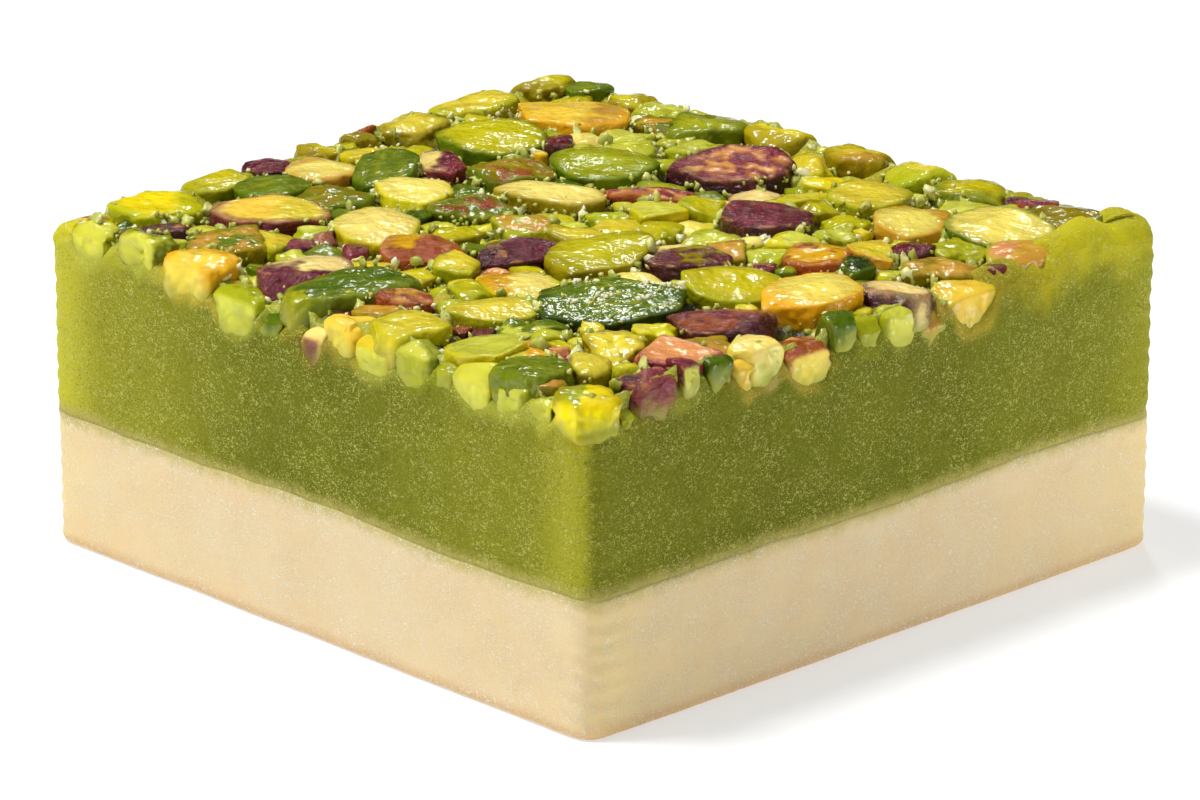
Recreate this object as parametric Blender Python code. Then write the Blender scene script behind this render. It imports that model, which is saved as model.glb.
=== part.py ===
"""A block of marzipan in two layers, almond below and pistachio above, topped with chopped pistachio kernels.

The block is cut by hand, so it is a little out of square and uneven on top. The kernels are pressed into the
soft pistachio layer, each in its own socket. Metres, +Z up, with the origin at the middle of the underside.
The near corner of the block is the one at +X, -Y.
"""

import math
import random

import bmesh
import bpy
from mathutils import Matrix, Vector

MM = 0.001

# The corners of the hand-cut block, anticlockwise from the one at -X, -Y.
CORNERS = [Vector(corner) * MM for corner in ((-40.2, -38.6), (39.8, -40.4), (42.5, 40.4), (-42.5, 38.2))]
CORNER_RADIUS = 2.2 * MM
CORNER_SEGMENTS = 3
FOOT_RADIUS = 0.7 * MM

ALMOND_HEIGHT = 14.4 * MM
PASTE_TOP = 30.0 * MM
# Straight lines this far apart share out each face, so that it can follow the waves below.
GRID_STEP = 14 * MM
GRID_LINES = 2
# Every two pieces stay this far apart.
GAP = 0.3 * MM

# Where the two layers meet, and on top, the paste is wavy. Each wave is (length, depth).
JUNCTION_WAVE = (80 * MM, 0.4 * MM)
JUNCTION_CREST = 5 * MM
TOP_WAVE = (29 * MM, 0.4 * MM)
# The pistachio paste stands up in a crest at the corner at +X, +Y.
CREST_HEIGHT = 3.2 * MM
CREST_REACH = 11 * MM

# A kernel is an oval barrel with upright sides. The top is cut flat.
SIDE_BLUNTNESS = 0.5
END_BLUNTNESS = 0.8
CUT_SHARE = 0.7
KERNEL_DEPTH = 7.0 * MM
TILT_SPREAD = math.radians(4)
# Corners closer than this become one, and each socket is this much larger all round than its kernel.
WELD_DISTANCE = 0.9 * MM
SOCKET_GROWTH = 1.2 * GAP
# Kernels at the rim are cut off this far inside the sides of the block.
EDGE_INSET = 0.15 * MM
SEED = 11

# Each piece of kernel, in mm and degrees: x, y, heading of its long side, length, width, height of its top.
KERNELS = {
    "yellow_kernel": (
        (-35, -27, 53, 11.5, 8.5, 35.2),
        (-14.5, -16, 130, 11.5, 8.5, 35),
        (9, -19.5, 40, 8.5, 7.5, 35),
        (11, -35.5, 50, 10.5, 8, 35),
        (13, -27, 45, 9, 6, 34.8),
        (36.5, -36.8, 45, 8.5, 8, 34.5),
        (33, -1.5, 70, 12.5, 8, 35.5),
        (39, 12.5, 88, 8.5, 6.5, 33.5),
        (39.5, 34.5, 100, 9.5, 5, 35.3),
        (23, 23.5, 130, 10, 7.5, 35),
        (12, 35.5, 20, 8, 7.5, 35),
        (3.5, 36.5, 5, 9.5, 6, 35),
        (-8.5, 36, 5, 11, 6.5, 35),
        (-38, 22, 75, 12.5, 7, 35),
        (-39, 33.5, 70, 8, 7, 35.2),
        (-37.3, -16.5, 80, 9.5, 6, 35),
        (-20.5, -5, 50, 8, 7.5, 35),
    ),
    "green_kernel": (
        (-1.5, -31.5, 58, 17.5, 7, 35.3),
        (25, -5, 45, 10.5, 9, 35),
        (31.5, 27.5, 20, 11.5, 9.5, 35.2),
        (14.5, 26.5, 45, 9, 9, 35),
        (-15.5, 33.5, 40, 9.5, 7.5, 35),
        (-13, 15.5, 30, 12.5, 9.5, 35.2),
        (8, -7, 66, 12.5, 9, 35.2),
        (-28, 13.5, 35, 12, 9, 35.2),
        (20.5, 35.5, 20, 8.5, 6.5, 35),
        (-26, -12, 45, 9, 6, 34.7),
    ),
    "dark_kernel": (
        (19.8, -16.8, 58, 15.5, 10.5, 35),
        (28.5, -36, 42, 9.5, 7.5, 34.8),
        (34.5, 34.5, 20, 9, 6.5, 35),
        (-27.5, -2.5, 130, 10.5, 7, 35.2),
        (-32, -14.5, 50, 7.5, 6, 34.8),
    ),
    "pale_kernel": (
        (-11, -36.8, 0, 9.5, 7, 33.6),
        (20.5, -34.5, 55, 9, 7.5, 34.4),
        (38.5, -16.5, 105, 8, 5, 35),
        (-37.5, 12, 75, 9.5, 7.5, 35),
    ),
    "skinned_kernel": (
        (-8.5, -32.5, 76, 13, 7.5, 35),
        (37.5, 4.8, 30, 11.5, 6.5, 35),
    ),
    "amber_kernel": (
        (-28, 26, 40, 12.5, 10.5, 35.2),
        (-33, -6.5, 45, 8.5, 7.5, 35),
        (-17.8, -36, 20, 8.5, 7.5, 35.3),
        (-9.5, 4, 28, 12, 7, 35),
        (-26, -20.5, 42, 12.5, 7.5, 35),
        (38.7, -10.8, 88, 8.5, 6.5, 33.3),
    ),
    "purple_kernel": (
        (12.5, 13.5, 45, 10, 8.5, 35.2),
        (16, -2, 45, 8.5, 6.5, 35),
        (-2, 24, 45, 14, 8.5, 35.2),
        (31.5, -13.5, 60, 10.5, 7.5, 34.8),
        (38.2, -31.2, 75, 10.5, 6.5, 34.6),
        (2, -12, 50, 9, 6.5, 34.8),
    ),
    "brown_kernel": (
        (-22, -29.5, 45, 8, 8, 34.8),
        (-5.5, -18.5, 70, 8.5, 6.5, 35),
        (35.5, -24.3, 45, 8, 7, 35),
        (24, 8.5, 55, 8, 6.5, 34.8),
        (35, 15, 55, 8, 7, 34.5),
        (38.5, 23, 75, 9.5, 7.5, 35),
        (-13, -4.5, 60, 9, 7, 34.8),
        (-18.5, 7.5, 35, 9.5, 6, 34.8),
    ),
}

COLOURS = {
    "almond_base": (0.80, 0.64, 0.40),
    "pistachio_layer": (0.22, 0.23, 0.035),
    "yellow_kernel": (0.66, 0.58, 0.05),
    "green_kernel": (0.40, 0.47, 0.05),
    "dark_kernel": (0.09, 0.17, 0.03),
    "pale_kernel": (0.72, 0.66, 0.28),
    "skinned_kernel": (0.55, 0.35, 0.2),
    "amber_kernel": (0.76, 0.46, 0.07),
    "purple_kernel": (0.16, 0.02, 0.05),
    "brown_kernel": (0.30, 0.20, 0.05),
}
PASTE_ROUGHNESS = 0.65
KERNEL_ROUGHNESS = 0.35


def clear_scene():
    for old in list(bpy.data.objects):
        bpy.data.objects.remove(old, do_unlink=True)


def new_collection(name):
    collection = bpy.data.collections.new(name)
    bpy.context.scene.collection.children.link(collection)
    return collection


def new_material(name, colour, roughness):
    material = bpy.data.materials.new(name)
    material.use_nodes = True
    shader = material.node_tree.nodes["Principled BSDF"]
    shader.inputs["Base Color"].default_value = (*colour, 1)
    shader.inputs["Roughness"].default_value = roughness
    shader.inputs["Metallic"].default_value = 0
    return material


def new_object(name, bm, collection, material=None):
    mesh = bpy.data.meshes.new(name)
    bmesh.ops.recalc_face_normals(bm, faces=bm.faces)
    bm.to_mesh(mesh)
    bm.free()
    if material:
        mesh.materials.append(material)
    obj = bpy.data.objects.new(name, mesh)
    collection.objects.link(obj)
    return obj


def keep_inside(bm, point, normal):
    """Cuts the solid by a plane, closes the cut face, and keeps what lies behind the plane."""
    geometry = bm.verts[:] + bm.edges[:] + bm.faces[:]
    cut = bmesh.ops.bisect_plane(bm, geom=geometry, plane_co=point, plane_no=normal, clear_outer=True)
    rim = [item for item in cut["geom_cut"] if isinstance(item, bmesh.types.BMEdge)]
    if rim:
        bmesh.ops.contextual_create(bm, geom=rim)


def junction_height(x, y):
    """How far the layers' meeting face stands above its mean height at a place."""
    length, depth = JUNCTION_WAVE
    return depth * math.cos(math.tau * (x + y - JUNCTION_CREST) / length)


def top_height(x, y):
    """How far the paste's top stands above its mean height at a place."""
    length, depth = TOP_WAVE
    wave = depth * math.sin(math.tau * (x + y) / length) * math.cos(math.tau * (x - 2 * y) / length)
    from_corner = (Vector((x, y)) - CORNERS[2]).length
    return wave + CREST_HEIGHT * max(0, 1 - from_corner / CREST_REACH)


def flat(x, y):
    return 0


def layer(name, bottom, top, bottom_shape, top_shape, foot, collection):
    """A slab with the block's rounded outline, whose faces follow two height functions."""
    bm = bmesh.new()
    bmesh.ops.create_cube(bm, size=1)
    for vertex in bm.verts:
        quarter = (0 if vertex.co.y < 0 else 3) if vertex.co.x < 0 else (1 if vertex.co.y < 0 else 2)
        vertex.co = (*CORNERS[quarter], top if vertex.co.z > 0 else bottom)
    upright = [edge for edge in bm.edges if abs(edge.verts[0].co.z - edge.verts[1].co.z) > GAP]
    bmesh.ops.bevel(
        bm, geom=upright, offset=CORNER_RADIUS, segments=CORNER_SEGMENTS, profile=0.5, affect="EDGES"
    )
    if foot:
        rim = [edge for edge in bm.edges if all(vertex.co.z < bottom + GAP for vertex in edge.verts)]
        bmesh.ops.bevel(bm, geom=rim, offset=foot, segments=2, profile=0.5, affect="EDGES")
    for axis in (Vector((1, 0, 0)), Vector((0, 1, 0))):
        for step in range(-GRID_LINES, GRID_LINES + 1):
            geometry = bm.verts[:] + bm.edges[:] + bm.faces[:]
            bmesh.ops.bisect_plane(bm, geom=geometry, plane_co=axis * step * GRID_STEP, plane_no=axis)
    bmesh.ops.triangulate(bm, faces=bm.faces)
    for vertex in bm.verts:
        x, y, z = vertex.co
        if z > top - GAP:
            vertex.co.z += top_shape(x, y)
        elif z < bottom + GAP:
            vertex.co.z += bottom_shape(x, y)
    return new_object(name, bm, collection)


def support(piece, direction):
    """How far a piece's outline reaches from its middle in a direction."""
    along = piece["along"].dot(direction) * piece["length"] / 2
    across = piece["along"].orthogonal().dot(direction) * piece["width"] / 2
    return math.hypot(along, across)


def spread(piece):
    """The matrix of the piece's outline, whose inverse gives the direction of the face it shares."""
    turn = Matrix((piece["along"], piece["along"].orthogonal())).transposed()
    squares = Matrix(((piece["length"] ** 2 / 4, 0), (0, piece["width"] ** 2 / 4)))
    return turn @ squares @ turn.transposed()


def shared_plane(piece, other):
    """A point and a normal of the upright plane where two neighbours press against each other."""
    between = other["middle"] - piece["middle"]
    normal = ((spread(piece) + spread(other)).inverted() @ between).normalized()
    own_end = piece["middle"].dot(normal) + support(piece, normal)
    other_end = other["middle"].dot(normal) - support(other, normal)
    return normal * ((own_end + other_end) / 2 - GAP / 2), normal


def read_pieces():
    """The table of kernels as a list, each with its own slight tilt."""
    dice = random.Random(SEED)
    pieces = []
    for kind, rows in KERNELS.items():
        for number, (x, y, heading, length, width, top) in enumerate(rows, start=1):
            angle = math.radians(heading)
            pieces.append(
                {
                    "name": f"{kind}_{number:02d}",
                    "kind": kind,
                    "middle": Vector((x, y)) * MM,
                    "along": Vector((math.cos(angle), math.sin(angle))),
                    "angle": angle,
                    "length": length * MM,
                    "width": width * MM,
                    "top": top * MM,
                    "tilt": (dice.uniform(-TILT_SPREAD, TILT_SPREAD), dice.uniform(-TILT_SPREAD, TILT_SPREAD)),
                }
            )
    return pieces


def kernel_solid(piece, pieces):
    """A kernel piece, cut flat where it meets its neighbours and the sides of the block."""
    bm = bmesh.new()
    bmesh.ops.create_icosphere(bm, subdivisions=2, radius=1)
    halves = (piece["length"] / 2, piece["width"] / 2, KERNEL_DEPTH / 2)
    for vertex in bm.verts:
        x, y, z = vertex.co
        swell = max(math.hypot(x, y), GAP) ** (SIDE_BLUNTNESS - 1)
        blunt = (x * swell, y * swell, math.copysign(abs(z) ** END_BLUNTNESS, z))
        vertex.co = [part * half for part, half in zip(blunt, halves)]
    keep_inside(bm, Vector((0, 0, CUT_SHARE * halves[2])), Vector((0, 0, 1)))
    tilt = Matrix.Rotation(piece["tilt"][0], 4, "X") @ Matrix.Rotation(piece["tilt"][1], 4, "Y")
    middle_height = piece["top"] - CUT_SHARE * halves[2]
    place = Matrix.Translation((*piece["middle"], middle_height)) @ Matrix.Rotation(piece["angle"], 4, "Z")
    bmesh.ops.transform(bm, matrix=place @ tilt, verts=bm.verts)
    for other in pieces:
        reach = (piece["length"] + other["length"]) / 2
        if other is not piece and (other["middle"] - piece["middle"]).length < reach:
            point, normal = shared_plane(piece, other)
            keep_inside(bm, point.to_3d(), normal.to_3d())
    for start, end in zip(CORNERS, CORNERS[1:] + CORNERS[:1]):
        run = (end - start).normalized()
        outward = Vector((run.y, -run.x))
        keep_inside(bm, (start - outward * EDGE_INSET).to_3d(), outward.to_3d())
    bmesh.ops.remove_doubles(bm, verts=bm.verts, dist=WELD_DISTANCE)
    return rebuilt_hull(bm)


def rebuilt_hull(bm):
    """The same convex solid made again from its corners alone, without slivers."""
    points = [vertex.co.copy() for vertex in bm.verts]
    bm.free()
    hull = bmesh.new()
    for point in points:
        hull.verts.new(point)
    made = bmesh.ops.convex_hull(hull, input=hull.verts)
    bmesh.ops.delete(hull, geom=made["geom_interior"] + made["geom_unused"], context="VERTS")
    return hull


def socket_of(kernel, sockets):
    """The kernel grown by a little over the gap all round, which cuts its socket in the paste."""
    bm = bmesh.new()
    bm.from_mesh(kernel.data)
    bm.normal_update()
    for vertex in bm.verts:
        vertex.co += vertex.normal * SOCKET_GROWTH
    socket = new_object(kernel.name + "_socket", bm, sockets)
    socket.hide_render = True
    socket.display_type = "WIRE"
    return socket


def build():
    clear_scene()
    block = new_collection("marzipan")
    sockets = new_collection("sockets")
    sockets.hide_render = True
    materials = {
        name: new_material(name, colour, KERNEL_ROUGHNESS if "kernel" in name else PASTE_ROUGHNESS)
        for name, colour in COLOURS.items()
    }

    almond = layer("almond_base", 0, ALMOND_HEIGHT, flat, junction_height, FOOT_RADIUS, block)
    paste = layer("pistachio_layer", ALMOND_HEIGHT + GAP, PASTE_TOP, junction_height, top_height, 0, block)
    almond.data.materials.append(materials["almond_base"])
    paste.data.materials.append(materials["pistachio_layer"])

    pieces = read_pieces()
    for piece in pieces:
        kernel = new_object(piece["name"], kernel_solid(piece, pieces), block, materials[piece["kind"]])
        socket_of(kernel, sockets)

    press = paste.modifiers.new("sockets", "BOOLEAN")
    press.operation = "DIFFERENCE"
    press.operand_type = "COLLECTION"
    press.collection = sockets
    press.solver = "EXACT"


build()
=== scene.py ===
"""The looks of a block of marzipan: almond paste below, pistachio paste above and chopped kernels on top.

Lengths are in millimetres until a mesh is made, and +Z is up. The block's near corner is the one at +X, -Y.
"""

import itertools
import math
import random

import bmesh
import bpy
import numpy as np
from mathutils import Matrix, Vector


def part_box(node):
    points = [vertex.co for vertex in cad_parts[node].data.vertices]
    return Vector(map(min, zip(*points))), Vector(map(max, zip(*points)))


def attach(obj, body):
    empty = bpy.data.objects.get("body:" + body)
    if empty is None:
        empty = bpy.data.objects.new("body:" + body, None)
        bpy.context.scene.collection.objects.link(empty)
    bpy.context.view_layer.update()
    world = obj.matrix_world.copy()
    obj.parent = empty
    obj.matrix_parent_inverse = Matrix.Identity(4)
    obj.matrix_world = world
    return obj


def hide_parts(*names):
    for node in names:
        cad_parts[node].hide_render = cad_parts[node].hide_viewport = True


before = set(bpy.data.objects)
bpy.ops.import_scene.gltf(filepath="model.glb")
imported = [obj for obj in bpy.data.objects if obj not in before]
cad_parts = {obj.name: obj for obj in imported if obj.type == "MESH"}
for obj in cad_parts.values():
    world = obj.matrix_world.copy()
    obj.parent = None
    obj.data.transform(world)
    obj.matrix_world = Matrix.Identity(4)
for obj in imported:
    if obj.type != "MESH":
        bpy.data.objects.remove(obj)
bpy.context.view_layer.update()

MM = 0.001
SEED = 7

# The two layers
COLUMN_STEP = 0.42
ROW_STEP = 0.42
FOOT_RADIUS = 0.7
BROW = ((0, 0.06), (0.3, 0.14), (0.65, 0.32), (1.0, 0.6), (1.3, 1.0), (1.5, 1.5), (1.65, 2.1))
TOP_RINGS = (0.12, 0.35, 0.7, 1.1, 1.6, 2.2, 2.9, 3.7, 4.6, 5.6, 6.8, 8.2, 9.8, 11.6, 13.6)
TOP_RINGS += (16, 19, 22, 26, 30, 34)
HALF_WIDTH = 38
PASTE_EDGE = 32.6
PASTE_MIDDLE = 32.4
BANK_HEIGHT = 2.1
# How much paler the paste is painted at the corners, a painted glow of light through the thin edges: +X +Y,
# -X +Y, -X -Y, and both sides of +X -Y.
ALMOND_PAINTED_GLOW = (0.8, 0.6, 0.6, 0.2, 0.9)
PISTACHIO_PAINTED_GLOW = (0.3, 0.7, 0.9, 0.5, 0.1)

# The kernels
HEAD_SHARE = 0.35
GROWTH = 0.8
LEAST_ROOM = 0.8
# A face is where a piece is cut flush with the side of the block. Its outline is an oval, cut into edges.
FACE_INSET = 0.1
FACE_CORNERS = (-158, -134, -110, -90, -68, -45, -20, 32, 146)
FACE_POWER = 1.7
FACE_SHARPNESS = 10
RIM_SHARPNESS = {"small": 9, "large": 14}
SMALL_FACED = 6
SMALLEST_CHIP = 0.7
MOST_CHIPS = 600
CHIP_TOP = 35.0
TILT = 0.1

# The crumbs that lie in the gaps: how many on a square metre of gap and of dust, and how wide, in metres.
CRUMB_INPUTS = ("Density", "Dust", "Smallest", "Largest", "Faces", "Seed")
CRUMBS = {
    "fine_crumbs": (1.9e6, 2.0e6, 0.0003, 0.0009, 1, 3),
    "coarse_crumbs": (3.6e5, 0.0, 0.0008, 0.0018, 2, 4),
}
DUSTED = ("dark_kernel_01",)
# The mass between the kernels: its depth below them, its height at the block's edge, and its underside.
FILLING_DEPTH = 1.15
FILLING_EDGE = 33.4
FILLING_FLOOR = 30.0
# How many rows and columns of places are measured over the top.
SURVEY = (266, 276)

# The lights: name, place and width in metres, power in watts.
LIGHTS = (
    ("key", (-0.25, -0.3, 1.0), 0.26, 8.8),
    ("softbox", (0.1, 0.1, 1.0), 0.8, 1.0),
    ("fill", (1.0, -0.3, 0.35), 0.6, 0.6),
    ("front", (-0.2, -1.0, 0.3), 0.6, 1.95),
    ("glint", (-0.5, 0.49, 0.8), 0.16, 2.0),
    ("rim", (0.15, 0.09, 0.03), 0.06, 0.05),
)
# Where the lights point, in metres, and how far the floor reaches each way, in millimetres.
LIT_PLACE = (0, 0, 0.02)
FLOOR_REACH = 4000
FLOOR_LOOKS = {
    "Base_Color": (0.62, 0.62, 0.62, 1),
    "Roughness": 0.9,
    "Emission_Color": (0.96, 0.975, 1, 1),
    "Emission_Strength": 0.47,
}
# The sky is bright only high up.
SKY_FADE = {"From_Min": 0.4, "From_Max": 0.85, "To_Min": 0.02, "To_Max": 0.27}
# The camera, in metres, degrees and millimetres of focal length.
CAMERA_PLACE = (0.42384, -0.42984, 0.22354)
CAMERA_TURN = (70.976, 0, 44.4916)
CAMERA_LENS = 185.73

PASTE_GREEN = np.array((112, 116, 22))
# Each paste's colours in sRGB, among them the painted glow at its edges, how much its specks (partly
# painted glints) show, how deep its grain is and how dark the painted shade in its pits is.
PASTES = {
    "almond_paste": {
        "main": ((238, 211, 164), (241, 218, 174)),
        # edge is the colour of the painted glow at the upright edges.
        "edge": (254, 224, 158),
        "meeting": (206, 190, 112),
        "speck_and_glint": ((255, 250, 230), 0.7),
        "grain_depth": 0.05,
        "painted_pit_shade": 0.12,
    },
    "pistachio_paste": {
        "main": (PASTE_GREEN, PASTE_GREEN * 1.08),
        # edge is the colour of the painted glow at the upright edges.
        "edge": (214, 208, 58),
        "meeting": (192, 178, 98),
        "speck_and_glint": ((216, 216, 116), 0.75),
        "grain_depth": 0.2,
        "painted_pit_shade": 0.45,
        "stained": True,
    },
}

# The tones of each kind of kernel, in sRGB.
KINDS = {
    "yellow": {"lemon": (244, 216, 14), "butter": (250, 228, 126), "straw": (228, 206, 62)},
    "green": {"lime": (204, 192, 18), "grass": (164, 168, 20), "olive": (146, 128, 10)},
    "dark": {"moss": (112, 126, 28), "leaf": (84, 108, 12), "forest": (44, 62, 4)},
    "pale": {"mint": (208, 208, 80)},
    "skinned": {"cream": (250, 220, 146)},
    "amber": {"amber": (250, 208, 76), "honey": (226, 166, 24)},
    "purple": {"plum": (112, 26, 46), "wine": (66, 12, 26), "magenta": (150, 46, 72)},
    "brown": {"tan": (204, 152, 56), "rust": (168, 78, 20), "blush": (222, 150, 96)},
}
TONES = {tone: colour for tones in KINDS.values() for tone, colour in tones.items()}
KIND_OF_TONE = {tone: kind for kind, tones in KINDS.items() for tone in tones}
SKINS = ("rust", "plum", "wine", "magenta")
# Every colour that has a name, in sRGB.
COLOURS = {
    **TONES,
    "darker foot": (196, 140, 72),
    "smear": (168, 170, 40),
    "fibre": (250, 234, 60),
    "pore": (248, 236, 90),
    "vein": (184, 78, 96),
    "wrinkle": (34, 6, 14),
    # The filling's darker tones paint the shade in its hollows and deep places.
    "filling": (74, 76, 16),
    "filling in shade": (34, 32, 4),
    "filling at the edge": (186, 190, 70),
    "dark crumb": (170, 176, 60),
    "light crumb": (214, 214, 112),
    "white crumb": (250, 244, 196),
}
# A form: how many sides, how uneven, how far in they may lie, slanting cuts, sharpness, depth of the lumps.
FORMS = {
    "slice": (10, 0.3, 0.88, 0, 26, 0.13),
    "slab": (6, 0.3, 0.86, 1, 28, 0.18),
    "chunk": (5, 0.35, 0.84, 3, 24, 0.28),
    "lump": (6, 0.4, 0.82, 4, 14, 0.60),
}
ZONES = ("side", "top", "face")
# Level directions as seen from the near corner.
NEAR = np.array((0.701, -0.713))
WAYS = {"near": NEAR, "far": -NEAR, "right": np.array((0.713, 0.701)), "left": np.array((-0.713, -0.701))}

# The kernels of each kind, from number 01 on: tone on top, tone outside, form, and further tones, which lie
# on the face, in spots or to one side. With right.6 the tone starts at 0.6 of the way to the right rim.
# A slope falls away to its side.
KERNELS = {
    "yellow": (
        "lemon grass slab",
        "butter lime slice",
        "butter lime chunk left=honey",
        "straw lime slice",
        "straw grass slice",
        "grass olive lump face=lemon right=lemon",
        "butter honey slab",
        "amber lime slice",
        "moss moss lump",
        "butter tan slab right.6=tan",
        "straw grass chunk",
        "straw olive slab near.5=tan",
        "lemon olive chunk",
        "straw grass slice",
        "lime olive lump",
        "lime grass slice",
        "butter lime slab",
    ),
    "green": (
        "leaf moss slab face=lime left.6=lime near.7=grass",
        "lime grass slice",
        "butter leaf slice",
        "straw grass slice",
        "grass moss lump",
        "grass leaf slice",
        "lime olive slab",
        "lime leaf slice",
        "lime moss lump",
        "olive moss lump spots=moss",
    ),
    "dark": (
        "leaf forest slab spots=moss",
        "moss moss slice spots=leaf",
        "olive leaf slice",
        "moss leaf slice spots=leaf",
        "moss leaf slice",
    ),
    "pale": (
        "grass grass slice face=mint",
        "mint lime slice",
        "cream straw chunk",
        "straw olive lump",
    ),
    "skinned": (
        "cream plum slice slope=near near=plum",
        "cream wine slab slope=near",
    ),
    "amber": (
        "amber honey slab right.4=tan",
        "butter tan chunk",
        "amber honey chunk far.3=honey",
        "butter olive slice",
        "amber plum slice right=straw",
        "rust rust slice face=amber spots=tan",
    ),
    "purple": (
        "plum wine slice spots=magenta",
        "plum wine slab spots=olive",
        "magenta wine slab spots=blush",
        "rust wine chunk spots=plum",
        "magenta plum slab left.4=wine slope=near",
        "plum wine slab left.5=grass",
    ),
    "brown": (
        "tan olive chunk spots=moss",
        "honey rust chunk right=rust near=rust",
        "blush magenta slab",
        "honey rust chunk spots=rust",
        "tan olive lump spots=olive",
        "tan grass slab left=blush",
        "moss moss lump spots=rust",
        "olive moss slab spots=rust",
    ),
}
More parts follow.
